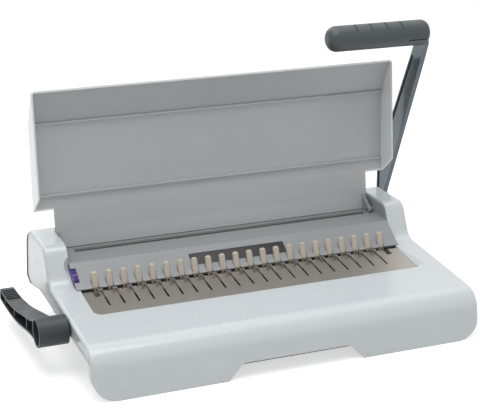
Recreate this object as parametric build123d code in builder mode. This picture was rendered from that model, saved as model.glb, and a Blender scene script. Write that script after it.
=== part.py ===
"""Manual plastic-comb binding machine.

The right-hand handle punches sheets, the left lever opens the plastic combs.

Machine axes while modelling: X to the right along the comb, Y towards the rear, Z up from the table top.
X = 0 is the middle of the comb and Y = 0 the plane of the finger tips. On export every piece is moved so that
the origin is the middle of the machine's footprint on the table.
"""

from build123d import *
import os
from math import atan2, cos, degrees, hypot, pi, radians, sin, sqrt, tan

# ---------------------------------------------------------------- comb pattern
finger_count = 22
finger_pitch = 14.2875  # 9/16 inch, the pitch of plastic comb bindings
punch_count = 21
half_span = finger_pitch * punch_count / 2
frame_gap = 10.0  # from the end of the punched row to the punch frame
frame_inner = half_span + frame_gap
hook_offset = 3.3  # a hook's slot lies this far to the right of its finger

# ---------------------------------------------------------------- casing, side view corners as (Y, Z)
case_end = 41.5  # from the end of the punched row to the end face
case_half_width = half_span + case_end
case_wall = 2.5
edge_round = 4.0
side_rim = 2.5  # the end faces are sunk inside a rim this wide
side_sink = 1.2
side_recess_foot = 34.0
front_y = -130.0
skirt_depth = 11.0
apron_foot = (front_y, 0.0)
nose_corner = (front_y + 5.3, 45.7)
plateau_end = (10.7, 59.1)
crest_front = (25.5, 92.3)
crest_rear = (93.5, 94.0)
rear_heel = (102.8, 38.5)
rear_sill = (88.0, 33.5)
side_sill = (50.0, 40.5)
skirt_top = (front_y + skirt_depth, 31.0)
skirt_foot = (front_y + skirt_depth, 0.0)
nose_radius = 22.0
hollow_radius = 16.0
crest_radius = 12.0
rear_radius = 20.0
heel_radius = 8.0
sill_radius = 10.0
skirt_corner_radius = 24.0
rear_cover_front = 86.2
rear_cover_top = 86.0

# ---------------------------------------------------------------- openings of the casing
cheek_width = 22.5
cheek_inner = case_half_width - cheek_width  # half width of the well between the cheeks
well_front = -58.5
well_rear = 70.0
well_corner_radius = 6.0
liner_thickness = 2.0
rim_gap = 0.2
arch_half_width = 67.5
arch_top_half_width = 53.0
arch_centre_x = 1.0
arch_height = 14.5
arch_radius = 8.0
scoop_inset = 5.0
scoop_centre = (scoop_inset - cheek_inner, 10.0, 77.0)
scoop_radius = 13.0
scoop_wall = 1.6

# ---------------------------------------------------------------- comb plate, a plane that falls to the front
plate_point = (-11.1, 56.2)
plate_slope = 0.1575
plate_thickness = 1.2
plate_rear = -10.5
plate_front = -62.0
slot_width = 1.8
slot_front = -38.4
notch_left = 5.5
notch_right = 4.2
notch_front = -20.5

# ---------------------------------------------------------------- guide panel
panel_thickness = 2.5
panel_lip = (-6.0, 57.9)
panel_crease = (19.9, 76.0)
panel_deck_rear = (well_rear - 0.4, 76.3)
panel_gap = 0.2
throat_left = -154.0
throat_right = frame_inner
throat_front = 49.0
throat_rear = 58.5
finger_notch_width = 6.6
finger_notch_rear = 0.4
window_left = -51.5
window_right = 48.5
window_low_y = 2.2
window_high_y = 13.5
window_sink = 1.6

# ---------------------------------------------------------------- comb fingers and their rail
finger_width = 6.0
finger_thickness = 2.5
finger_tip = (0.0, 72.0)
finger_shoulder = (-4.9, 57.8)
finger_stem_width = 5.4
finger_foot_z = 45.0
finger_tip_taper = 1.8
finger_bevel = 0.9
finger_lip = 0.5
rail_height = 7.0

# ---------------------------------------------------------------- comb hooks and their slider
hook_thickness = 1.4
hook_depth = 2.4
hook_y = -12.8
hook_head_top = 2.6
hook_head_height = 1.8
hook_head_reach = 4.6
slider_gap = 0.5
hook_bar_thickness = 2.5
hook_bar_depth = 11.0
hook_bar_half_length = 150.0

# ---------------------------------------------------------------- racks and pinions
lever_module = 1.0
lever_teeth = 24
handle_module = 1.25
handle_teeth = 16
pressure_angle = 20.0
backlash = 0.3
lever_swing = 117.0
handle_swing = 68.75

# ---------------------------------------------------------------- comb lever, its linkage and the cross shaft
lever_axis = (-51.0, 41.0)
lever_outer_reach = 28.5
lever_outer_x = -case_half_width - lever_outer_reach
hub_radius = 13.5
hub_wall = 1.8
lever_arm_wall = 1.8
lever_shaft_radius = 4.0
cross_shaft_radius = 4.0
crank_length = 10.0
crank_eye_radius = 4.2
crank_thickness = 3.0
link_pin_radius = 1.8
rod_thickness = 2.0
rod_half_height = 3.4
side_gap = 0.5
running_gap = 0.05
lever_rack_inner = 140.0
lever_rack_width = 5.0
bracket_thickness = 2.5
bracket_inner = 148.0

# ---------------------------------------------------------------- punch unit
handle_axis = (82.0, 58.0)
handle_shaft_radius = 5.0
throat_gap = 3.0
throat_centre_y = 53.0
die_thickness = 3.5
die_top = 73.5
die_bottom = 50.0
punch_z = 66.0
punch_width = 8.0
punch_height = 3.0
punch_clearance = 0.1
punch_tip_y = 55.8
punch_bar_front = 71.0
punch_bar_depth = 6.5
punch_bar_bottom = 62.5
punch_bar_top = 72.8
punch_bar_inset = 12.0
punch_bar_half_length = frame_inner - punch_bar_inset
handle_rack_width = 8.0
frame_thickness = 2.0
rack_rear = 94.5
stop_top = 61.5
stop_height = 2.5

# ---------------------------------------------------------------- handle
hub_gap = 1.0
hub_inner_x = case_half_width + hub_gap
arm_gap = 8.3
arm_inner_x = case_half_width + arm_gap
arm_thickness = 5.0
arm_foot_front = (75.4, 60.5)
arm_knee = (86.4, 85.0)
arm_elbow = (17.4, 240.0)
arm_top_front = (10.4, 257.3)
arm_top_rear = (30.0, 257.3)
arm_back_high = (102.4, 115.0)
arm_back_low = (102.4, 84.0)
arm_foot_rear = (91.5, 54.0)
arm_back_round = 12.0
arm_corner_round = 3.0
arm_rim = 2.0
arm_recess = 1.2
arm_recess_top = 246.0
arm_recess_round = 3.0
hub_plate_radius = 10.0
grip_axis = (16.0, 270.0)
grip_radius = 12.6
grip_left_inset = 96.3
grip_left_x = case_half_width - grip_left_inset
grip_right_reach = 13.9
grip_right_x = case_half_width + grip_right_reach
grip_groove_pitch = 16.5
grip_groove_count = 4
grip_seam_z = 265.4

# ---------------------------------------------------------------- lid, drawn open
lid_axis = (53.0, 79.0)
lid_wall = 1.6
lid_panel = 2.8
neck_gap = 0.7
neck_half_width = cheek_inner - neck_gap
lid_end_inset = 3.0
lid_half_width = case_half_width - lid_end_inset
neck_foot = (63.2, 76.9)
neck_middle = (66.0, 92.0)
lid_sill = (68.5, 115.0)
lid_low_bend = (70.5, 128.5)
lid_high_bend = (72.0, 199.5)
lid_top = (56.8, 234.2)
lid_ceiling_z = 233.8
rim_low = (46.5, 133.0)
rim_top = (54.5, 235.8)
lid_round = 2.0
liner_gap = 0.3
lid_lip = 2.0
lid_liner_thickness = 1.4
ear_inset = 6.0
ear_inner = cheek_inner - ear_inset
ear_thickness = 3.0
hinge_pin_radius = 2.5
ear_radius = 4.6
rib_depth = 3.0
rib_thickness = 1.6
edge_slack = 0.1

# ---------------------------------------------------------------- base, drawer, feet and fasteners
base_inset = 21.5
base_half_width = case_half_width - base_inset
base_front = -108.0
base_rear = 85.5
base_floor = 4.0
base_wall = 2.5
base_rim_z = 44.0
flange_inset = 2.9
flange_half_width = case_half_width - flange_inset
drawer_inset = 12.0
drawer_half_width = frame_inner - drawer_inset
drawer_front_y = 18.0
drawer_bottom = 6.8
drawer_top = 31.0
drawer_wall = 2.0
foot_radius = 9.0
foot_inset = 20.0
foot_x = base_half_width - foot_inset
foot_front_y = -100.0
foot_rear_y = 68.0
screw_radius = 1.5
screw_head_radius = 3.2
screw_head_height = 2.2
boss_radius = 4.0
boss_inset = 10.5
boss_x = case_half_width - boss_inset
boss_front_y = -92.0
boss_rear_y = 40.0
screw_gap = 0.05

# ---------------------------------------------------------------- edge guide
wheel_centre_y = 13.2
wheel_radius = 12.0
wheel_width = 4.4
wheel_inset = 2.3
wheel_x = wheel_inset - cheek_inner
wheel_proud = 2.5
wheel_recess_width = 5.6
lead_screw_radius = 2.0
lead_screw_end_x = -140.0
guide_x = -158.5
guide_width = 2.5

# ---------------------------------------------------------------- more places
below_table = 20.0
ledge_step = 3.5
ledge_inner = cheek_inner - ledge_step
ledge_rear = -6.3
partition_foot = 46.0
partition_high = 68.0
wheel_bay_rear = 24.0
well_wall_foot = 74.2
bevel_lift = 0.15
bevel_runs = {-1: 3.0, 1: 20.0}  # steep on the left, wide and shallow on the right
bevel_rise = 8.0
pin_reach = 5.0
hinge_pin_end = cheek_inner + pin_reach
lever_bush_radius = 6.0
lever_bush_inset = 7.5
lever_bush_end = lever_bush_inset - case_half_width
handle_bush_radius = 7.0
cap_centre = (53.0, 58.0)
cap_width = 22.0
cap_height = 24.0
cap_corner = 6.0
cap_gap = 0.1
cap_flange = 1.0
plate_side_gap = 0.3
window_corner = 1.5
window_gap = 0.1
window_recess = 0.5
wheel_gap = 0.6
bearing_half = 4.0
bearing_width = 2.5
ear_gap = 0.4
finger_tip_drop = 1.2
finger_tip_width = 3.0
finger_foot_width = 4.2
finger_stem_shift = 0.25
finger_hole_left = -0.6
finger_hole_right = 2.0
finger_hole_low = 54.0
finger_hole_high = 55.6
rail_rear = 6.7
hook_bar_rear = -9.5
root_factor = 1.25
rack_body = 2.15
rack_contact_y = -36.0
lever_rack_front = -40.0
lever_rack_rear = -7.5
lever_crank_x = -frame_inner
crank_rest_angle = 187.3
crank_hub_radius = 6.5
lever_root_reach = 9.5
lever_root_x = -case_half_width - lever_root_reach
lever_tip_reach = 15.0
lever_tip_x = -case_half_width - lever_tip_reach
lever_gap = 1.0
lever_inner_x = -case_half_width - lever_gap
lever_top = [
    (-47.0, 53.5),
    (-35.0, 48.3),
    (-12.0, 43.0),
    (27.0, 35.0),
    (68.0, 31.0),
    (95.0, 31.8),
]
lever_under = [
    (97.0, 20.5),
    (62.0, 19.8),
    (36.0, 21.0),
    (11.0, 24.0),
    (-21.0, 29.5),
    (-44.0, 31.0),
]
lever_rib_ys = [-11.0, 39.0, 76.0]
lever_rib = 1.5
lever_rib_sink = 1.0
hub_web = 2.5
boss_outer_radius = 7.0
lever_screw_reach = 8.5
lever_screw_x = -case_half_width - lever_screw_reach
lever_screw_head = 5.0
lever_screw_length = 8.0
lever_grip_ridges = 6
lever_grip_front = 66.0
lever_grip_pitch = 4.4
lever_grip_width = 1.4
lever_grip_z = 30.0
lever_grip_height = 2.3
bracket_half = 7.5
lever_post_x = -165.0
lever_post_radius = 7.0
frame_front = 44.0
frame_foot_rear = 82.5
frame_ring = 9.5
frame_top = 73.0
guide_cut_x = -150.0
guide_cut_z = 63.0
punch_rack_pitch_z = 68.0
handle_rack_inset = 10.0
handle_rack_inner = frame_inner - handle_rack_inset
shaft_reach = 14.5
shaft_end_x = case_half_width + shaft_reach
arm_head_radius = 7.0
tongue_half = 6.0
grip_rod_radius = 5.0
ring_radius = 8.0
grip_dome = 10.0
grip_end_round = 7.5
first_groove_inset = 27.7
grip_groove_left = grip_left_x + first_groove_inset
grip_groove_width = 1.4
grip_groove_depth = 1.0
grip_groove_low = 277.0
grip_seam_depth = 0.9
grip_seam_run = 25.4
grip_seam_left = grip_right_x - grip_seam_run
lid_low = 60.0
lid_corner = 4.0
flange_rear = 80.0
lever_slot_half = 11.0
lever_slot_z = 36.0
drawer_port_gap = 1.5
drawer_port_half = drawer_half_width + drawer_port_gap
drawer_port_top = 32.0
drawer_gap = 0.3
drawer_lip_half = 20.0
drawer_lip_depth = 5.0
screw_grip = 3.4
wheel_notches = 18
wheel_notch_radius = 0.8
nut_radius = 4.6
guide_arm_low = 63.6
guide_arm_height = 4.0
guide_top = 73.0
guide_blade_half = 1.1

# ---------------------------------------------------------------- worked-out values
plate_angle = degrees(atan2(plate_slope, 1))
plate_cos = cos(radians(plate_angle))
plate_sin = sin(radians(plate_angle))
panel_slope = (panel_crease[1] - panel_lip[1]) / (panel_crease[0] - panel_lip[0])
panel_angle = degrees(atan2(panel_slope, 1))
panel_cos = cos(radians(panel_angle))
panel_sin = sin(radians(panel_angle))
cheek_wall_x = cheek_inner + liner_thickness + rim_gap
plateau_slope = (plateau_end[1] - nose_corner[1]) / (plateau_end[0] - nose_corner[0])
crest_slope = (crest_rear[1] - crest_front[1]) / (crest_rear[0] - crest_front[0])
arm_outer_x = arm_inner_x + arm_thickness
side_face = case_half_width - side_sink
lever_pitch_radius = lever_module * lever_teeth / 2
handle_pitch_radius = handle_module * handle_teeth / 2


def plate_z(y):
    """Height of the comb plate's upper face at a depth y."""
    return plate_point[1] + plate_slope * (y - plate_point[0])


def panel_z(y):
    """Height of the guide panel's upper face on its slope at a depth y."""
    return panel_lip[1] + panel_slope * (y - panel_lip[0])


def crest_z(y):
    """Height of the casing's crest at a depth y."""
    return crest_front[1] + crest_slope * (y - crest_front[0])


def plateau_z(y):
    """Height of the casing's long gentle slope at a depth y."""
    return nose_corner[1] + plateau_slope * (y - nose_corner[0])


wheel_centre_z = panel_z(wheel_centre_y) - (wheel_radius - wheel_proud) / panel_cos


def finger_x(index):
    """Middle of a comb finger, counted from the left."""
    return (index - (finger_count - 1) / 2) * finger_pitch


# ---------------------------------------------------------------- drawing helpers
def block(x_from, x_to, y_from, y_to, z_from, z_to, mode=Mode.ADD):
    """A box given by its limits."""
    with Locations(((x_from + x_to) / 2, (y_from + y_to) / 2, (z_from + z_to) / 2)):
        Box(abs(x_to - x_from), abs(y_to - y_from), abs(z_to - z_from), mode=mode)


def rod(axis, radius, x_from, x_to, mode=Mode.ADD):
    """A cylinder along X whose axis passes through (Y, Z) = axis."""
    with Locations(Location(((x_from + x_to) / 2, axis[0], axis[1]), (0, 90, 0))):
        Cylinder(radius, abs(x_to - x_from), mode=mode)


def side_slab(corners, x_from, x_to, rounds=(), inset=0.0, mode=Mode.ADD):
    """A side-view shape with straight runs between (Y, Z) corners, some of them rounded, extruded along X."""
    with BuildSketch(Plane.YZ.offset(min(x_from, x_to))) as face:
        with BuildLine():
            Polyline(*corners, close=True)
        make_face()
        for corner, radius in rounds:
            fillet(face.vertices().sort_by_distance(corner)[0], radius)
        if inset:
            offset(amount=-inset, kind=Kind.INTERSECTION)
    extrude(face.sketch, amount=abs(x_to - x_from), mode=mode)


def shifted(points, distance):
    """A line moved sideways, to the right of its direction, with its corners kept sharp."""
    moved = []
    for index, point in enumerate(points):
        before = points[max(index - 1, 0)]
        after = points[min(index + 1, len(points) - 1)]
        into = (point[0] - before[0], point[1] - before[1])
        out = (after[0] - point[0], after[1] - point[1])
        if index == 0:
            into = out
        if index == len(points) - 1:
            out = into
        first = atan2(into[1], into[0])
        last = atan2(out[1], out[0])
        middle = (first + last) / 2
        reach = distance / cos((last - first) / 2)
        moved.append((point[0] + reach * sin(middle), point[1] - reach * cos(middle)))
    return moved


def band(points, thickness):
    """Corners of a strip that lies to the right of a line."""
    return list(points) + shifted(points, thickness)[::-1]


def on_plate(along, above):
    """(Y, Z) of a place given along the comb plate, rearwards, and square to its upper face."""
    y = plate_point[0] + along * plate_cos - above * plate_sin
    return (y, plate_point[1] + along * plate_sin + above * plate_cos)


def along_plate(y):
    """Distance along the comb plate of the point of its face at a depth y."""
    return (y - plate_point[0]) / plate_cos


def on_crank(axis, angle):
    """(Y, Z) of a crank pin."""
    return (axis[0] + crank_length * cos(radians(angle)), axis[1] + crank_length * sin(radians(angle)))


def link(first, second, first_radius, second_radius, web, x_from, x_to):
    """A flat link with two round eyes."""
    rod(first, first_radius, x_from, x_to)
    rod(second, second_radius, x_from, x_to)
    span = hypot(second[0] - first[0], second[1] - first[1])
    side = ((first[1] - second[1]) * web / span, (second[0] - first[0]) * web / span)
    corners = [
        (first[0] + side[0], first[1] + side[1]),
        (second[0] + side[0], second[1] + side[1]),
        (second[0] - side[0], second[1] - side[1]),
        (first[0] - side[0], first[1] - side[1]),
    ]
    side_slab(corners, x_from, x_to)


def pinion(module, teeth, axis, rack_angle, x_from, x_to):
    """A spur pinion with straight flanks and a little backlash; a tooth gap faces the rack."""
    pitch_radius = module * teeth / 2
    root = pitch_radius - root_factor * module
    tip = pitch_radius + module
    corners = []
    for tooth in range(teeth):
        centre = radians(rack_angle) + pi / teeth + 2 * pi * tooth / teeth
        for radius, side in ((root, -1), (tip, -1), (tip, 1), (root, 1)):
            half = pi * module / 4 - backlash / 2 - (radius - pitch_radius) * tan(radians(pressure_angle))
            angle = centre + side * half / radius
            corners.append((axis[0] + radius * cos(angle), axis[1] + radius * sin(angle)))
    side_slab(corners, x_from, x_to)


def rack_corners(module, length, body, first_tooth):
    """A rack from 0 to length: teeth point down from the pitch line at zero, the body lies over them."""
    slant = tan(radians(pressure_angle))
    half_root = pi * module / 4 - backlash / 2 + root_factor * module * slant
    half_tip = pi * module / 4 - backlash / 2 - module * slant
    root = root_factor * module
    corners = [(0, root)]
    centre = first_tooth
    while centre + half_root < length:
        if centre - half_root > 0:
            corners.append((centre - half_root, root))
            corners.append((centre - half_tip, -module))
            corners.append((centre + half_tip, -module))
            corners.append((centre + half_root, root))
        centre = centre + pi * module
    return corners + [(length, root), (length, root + body), (0, root + body)]


# ================================================================ casing
case_corners = [
    apron_foot,
    nose_corner,
    plateau_end,
    crest_front,
    crest_rear,
    rear_heel,
    rear_sill,
    side_sill,
    skirt_top,
    skirt_foot,
]
top_rounds = [
    (nose_corner, nose_radius),
    (plateau_end, hollow_radius),
    (crest_front, crest_radius),
    (crest_rear, rear_radius),
]
case_rounds = top_rounds + [(rear_heel, heel_radius), (rear_sill, sill_radius), (side_sill, rear_radius)]
nose_slant = (nose_corner[0] - front_y) / nose_corner[1]
rear_slant = (rear_heel[0] - crest_rear[0]) / (crest_rear[1] - rear_heel[1])
cavity_corners = [
    (front_y - below_table * nose_slant, -below_table),
    nose_corner,
    plateau_end,
    crest_front,
    crest_rear,
    (rear_heel[0] + (rear_heel[1] + below_table) * rear_slant, -below_table),
]
case_inside = case_half_width - case_wall
skirt_inside = case_half_width - skirt_corner_radius
case_top = crest_rear[1] + 1

with BuildPart() as outer_form:
    side_slab(case_corners, -case_half_width, case_half_width, case_rounds)
    end_edges = [e for e in outer_form.edges() if abs(abs(e.center().X) - case_half_width) < 0.01]
    low_edges = [e for e in end_edges if e.center().Z < side_sill[1] + 1]
    lower_ends = [e for e in low_edges if e.center().Y > front_y + skirt_depth / 2]
    top_edges = [e for e in end_edges if e not in lower_ends]
    fillet(top_edges, edge_round)
    with BuildPart(mode=Mode.PRIVATE) as end_recess:
        for side in (-1, 1):
            recess_sides = (side * side_face, side * (case_half_width + side_sink))
            side_slab(case_corners, *recess_sides, case_rounds, side_rim)
        high = (side_recess_foot, 2 * crest_rear[1])
        block(-case_half_width, case_half_width, 2 * front_y, 2 * rear_heel[0], *high, Mode.INTERSECT)
    add(end_recess.part, mode=Mode.SUBTRACT)

with BuildPart() as casing_cavity:
    side_slab(cavity_corners, -case_inside, case_inside, top_rounds, case_wall)
    with BuildSketch(Plane.XZ) as inner_front_view:
        with Locations((0, (case_wall + case_top) / 2)):
            Rectangle(2 * case_inside, case_top - case_wall)
        fillet(inner_front_view.vertices().group_by(Axis.Y)[0], skirt_corner_radius - case_wall)
        with Locations((0, (skirt_corner_radius - below_table) / 2)):
            Rectangle(2 * skirt_inside, skirt_corner_radius + below_table)
    extrude(amount=2 * case_half_width, both=True, mode=Mode.INTERSECT)
    # the walls of the well stay: beside the comb plate, beside the cheeks and behind the lid's neck
    for side in (-1, 1):
        ledge = (side * ledge_inner, side * (ledge_inner + case_wall))
        cheek = (side * cheek_wall_x, side * (cheek_wall_x + case_wall))
        block(*ledge, well_front - case_wall, ledge_rear, partition_foot, case_top, Mode.SUBTRACT)
        step = (ledge[0], cheek[1], ledge_rear - case_wall, ledge_rear)
        block(*step, partition_foot, case_top, Mode.SUBTRACT)
        block(*cheek, ledge_rear - case_wall, wheel_bay_rear, partition_foot, case_top, Mode.SUBTRACT)
        block(*cheek, wheel_bay_rear - 1, rear_heel[0], partition_high, case_top, Mode.SUBTRACT)
    rear_wall = (-cheek_wall_x, cheek_wall_x, well_rear, well_rear + case_wall)
    block(*rear_wall, well_wall_foot, case_top, Mode.SUBTRACT)

with BuildPart() as rear_cover:
    add(outer_form.part)
    side_slab(case_corners, -case_half_width, case_half_width, case_rounds, case_wall, Mode.SUBTRACT)
    cover_depth = (rear_cover_front, 2 * rear_heel[0])
    block(-case_half_width, case_half_width, *cover_depth, 0, rear_cover_top, Mode.INTERSECT)

with BuildPart() as upper_casing:
    add(outer_form.part)
    with BuildSketch(Plane.XZ) as front_view:
        with Locations((0, case_top / 2)):
            Rectangle(2 * case_half_width, case_top)
        fillet(front_view.vertices().group_by(Axis.Y)[0], skirt_corner_radius)
        with BuildLine():
            Polyline(
                (arch_centre_x - arch_half_width, 0),
                (arch_centre_x - arch_top_half_width, arch_height),
                (arch_centre_x + arch_top_half_width, arch_height),
                (arch_centre_x + arch_half_width, 0),
                close=True,
            )
        make_face(mode=Mode.SUBTRACT)
        arch_tops = front_view.vertices().filter_by(lambda v: abs(v.Y - arch_height) < 0.01)
        fillet(arch_tops, arch_radius)
    extrude(amount=2 * case_half_width, both=True, mode=Mode.INTERSECT)
    add(casing_cavity.part, mode=Mode.SUBTRACT)
    add(rear_cover.part, mode=Mode.SUBTRACT)
    # the well: narrow beside the comb plate, wide between the cheeks
    with BuildSketch(Plane.XY.offset(partition_foot)) as well_plan:
        with Locations((0, (well_front + well_rear) / 2)):
            Rectangle(2 * ledge_inner, well_rear - well_front)
        fillet(well_plan.vertices().group_by(Axis.Y)[0], well_corner_radius)
        with Locations((0, (ledge_rear + well_rear) / 2)):
            Rectangle(2 * cheek_inner, well_rear - ledge_rear)
    extrude(amount=case_top, mode=Mode.SUBTRACT)
    with BuildSketch(Plane((0, *plate_point), (1, 0, 0), (0, -plate_cos, -plate_sin))):
        for side in (-1, 1):
            with BuildLine():
                Polyline(
                    (side * ledge_inner, bevel_lift),
                    (side * (ledge_inner + bevel_runs[side]), bevel_lift + bevel_rise),
                    (side * ledge_inner, bevel_lift + bevel_rise),
                    close=True,
                )
            make_face()
    extrude(amount=-along_plate(well_front + well_corner_radius), mode=Mode.SUBTRACT)
    # thumb scoop in the left cheek: a thin hollow ball wall inside the casing
    with BuildPart(mode=Mode.PRIVATE) as scoop_ball:
        with Locations(scoop_centre):
            Sphere(scoop_radius + scoop_wall)
        add(outer_form.part, mode=Mode.INTERSECT)
        block(-case_inside, -cheek_inner, front_y, well_rear, 0, case_top, Mode.INTERSECT)
    add(scoop_ball.part)
    with Locations(scoop_centre):
        Sphere(scoop_radius, mode=Mode.SUBTRACT)
    # screw bosses under the skin, bearings and the side cap's opening
    for side in (-1, 1):
        for boss_y, skin_z in ((boss_front_y, plateau_z(boss_front_y)), (boss_rear_y, crest_z(boss_rear_y))):
            boss_top = skin_z - case_wall / 2
            with Locations((side * boss_x, boss_y, (base_rim_z + boss_top) / 2)):
                Cylinder(boss_radius, boss_top - base_rim_z)
            with Locations((side * boss_x, boss_y, base_rim_z + screw_grip / 2)):
                Cylinder(screw_radius + screw_gap, screw_grip, mode=Mode.SUBTRACT)
        rod(lid_axis, hinge_pin_radius + running_gap, side * cheek_inner, side * hinge_pin_end, Mode.SUBTRACT)
    screw_bore = lead_screw_radius + running_gap
    rod((wheel_centre_y, wheel_centre_z), screw_bore, -case_inside, -cheek_inner, Mode.SUBTRACT)
    rod(lever_axis, lever_bush_radius, -case_half_width, -case_inside, Mode.SUBTRACT)
    block(
        -case_half_width,
        -case_inside,
        lever_axis[0] - lever_bush_radius,
        lever_axis[0] + lever_bush_radius,
        skirt_top[1],
        lever_axis[1],
        Mode.SUBTRACT,
    )
    rod(handle_axis, handle_bush_radius, case_inside, case_half_width, Mode.SUBTRACT)
    with BuildSketch(Plane.YZ.offset(-case_half_width)):
        with Locations(cap_centre):
            RectangleRounded(cap_width, cap_height, cap_corner)
    extrude(amount=case_wall, mode=Mode.SUBTRACT)

with BuildPart() as side_cap:
    with BuildSketch(Plane.YZ.offset(-side_face)):
        with Locations(cap_centre):
            RectangleRounded(cap_width - 2 * cap_gap, cap_height - 2 * cap_gap, cap_corner)
    extrude(amount=side_face - case_inside)
    with BuildSketch(Plane.YZ.offset(-case_inside)):
        with Locations(cap_centre):
            RectangleRounded(cap_width + 2 * cap_flange, cap_height + 2 * cap_flange, cap_corner)
    extrude(amount=cap_flange)

# ================================================================ comb plate
plate_plane = Plane((0, *plate_point), (1, 0, 0), (0, -plate_sin, plate_cos))

with BuildPart() as comb_plate:
    with BuildSketch(plate_plane):
        with Locations((0, (along_plate(plate_rear) + along_plate(plate_front)) / 2)):
            plate_width = 2 * (ledge_inner - plate_side_gap)
            Rectangle(plate_width, along_plate(plate_rear) - along_plate(plate_front))
        notch_length = along_plate(plate_rear) - along_plate(notch_front)
        for index in range(finger_count):
            notch_x = finger_x(index) + (notch_right - notch_left) / 2
            with Locations((notch_x, along_plate(notch_front) + notch_length / 2)):
                Rectangle(notch_left + notch_right, notch_length, mode=Mode.SUBTRACT)
        slot_length = along_plate(notch_front) - along_plate(slot_front) + slot_width
        for index in range(punch_count):
            with Locations((finger_x(index) + hook_offset, along_plate(slot_front) + slot_length / 2)):
                SlotOverall(slot_length, slot_width, rotation=90, mode=Mode.SUBTRACT)
    extrude(amount=-plate_thickness)

# ================================================================ guide panel
panel_line = [panel_lip, panel_crease, panel_deck_rear]
panel_under = shifted(panel_line, panel_thickness)
panel_half_width = cheek_inner - panel_gap
panel_plane = Plane((0, *panel_lip), (1, 0, 0), (0, -panel_sin, panel_cos))


def along_panel(y):
    """Distance up the guide panel's slope of the point of its face at a depth y."""
    return (y - panel_lip[0]) / panel_cos


with BuildPart() as guide_panel:
    for side in (-1, 1):
        liner = (side * panel_half_width, side * (cheek_inner + liner_thickness))
        side_slab(case_corners, *liner, case_rounds, case_wall + rim_gap)
    over_panel = panel_under + [(panel_deck_rear[0], case_top), (panel_lip[0], case_top)]
    side_slab(over_panel, -cheek_wall_x, cheek_wall_x, mode=Mode.INTERSECT)
    side_slab(band(panel_line, panel_thickness), -panel_half_width, panel_half_width)
    for index in range(finger_count):
        x = finger_x(index)
        half = finger_notch_width / 2
        block(x - half, x + half, 2 * panel_lip[0], finger_notch_rear, 0, case_top, Mode.SUBTRACT)
    block(throat_left, throat_right, throat_front, throat_rear, die_top, case_top, Mode.SUBTRACT)
    with BuildSketch(panel_plane):
        window_low = along_panel(window_low_y)
        window_high = along_panel(window_high_y)
        with Locations(((window_left + window_right) / 2, (window_low + window_high) / 2)):
            RectangleRounded(window_right - window_left, window_high - window_low, window_corner)
    extrude(amount=-window_sink, mode=Mode.SUBTRACT)
    wheel_axis = (wheel_centre_y, wheel_centre_z)
    wheel_bay = (wheel_x - wheel_recess_width / 2, wheel_x + wheel_recess_width / 2)
    rod(wheel_axis, wheel_radius + wheel_gap, *wheel_bay, Mode.SUBTRACT)
    # bearing for the right end of the edge guide's screw
    side_slab(
        [
            (wheel_centre_y - bearing_half, wheel_centre_z - bearing_half),
            (wheel_centre_y + bearing_half, wheel_centre_z - bearing_half),
            (wheel_centre_y + bearing_half, panel_z(wheel_centre_y)),
            (wheel_centre_y - bearing_half, panel_z(wheel_centre_y - bearing_half) - panel_thickness),
        ],
        lead_screw_end_x - bearing_width,
        lead_screw_end_x,
    )
    bearing = (lead_screw_end_x - bearing_width, lead_screw_end_x)
    rod(wheel_axis, lead_screw_radius + running_gap, *bearing, Mode.SUBTRACT)
    for side in (-1, 1):
        block(
            side * (ear_inner - ear_gap),
            side * (ear_inner + ear_thickness + ear_gap),
            lid_axis[0] - ear_radius - ear_gap,
            neck_foot[0] + ear_gap,
            panel_deck_rear[1] - 2 * panel_thickness,
            panel_deck_rear[1] + panel_thickness,
            Mode.SUBTRACT,
        )
        pin_bore = hinge_pin_radius + running_gap
        rod(lid_axis, pin_bore, side * panel_half_width, side * cheek_wall_x, Mode.SUBTRACT)
    # the left liner stops short of the thumb scoop
    with BuildPart(mode=Mode.PRIVATE) as scoop_gap:
        with Locations(scoop_centre):
            Sphere(scoop_radius + scoop_wall + rim_gap)
        block(-case_inside, -panel_half_width, front_y, well_rear, 0, case_top, Mode.INTERSECT)
    add(scoop_gap.part, mode=Mode.SUBTRACT)

with BuildPart() as panel_window:
    with BuildSketch(panel_plane.offset(-window_sink)):
        with Locations(((window_left + window_right) / 2, (window_low + window_high) / 2)):
            RectangleRounded(
                window_right - window_left - 2 * window_gap,
                window_high - window_low - 2 * window_gap,
                window_corner,
            )
    extrude(amount=window_sink - window_recess)

# ================================================================ comb fingers
finger_lean = atan2(finger_tip[0] - finger_shoulder[0], finger_tip[1] - finger_shoulder[1])
finger_depth = finger_thickness / cos(finger_lean)
rear_shoulder = (finger_shoulder[0] + finger_depth, finger_shoulder[1])
finger_neck = (finger_tip[0] - finger_tip_drop * tan(finger_lean), finger_tip[1] - finger_tip_drop)

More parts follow.
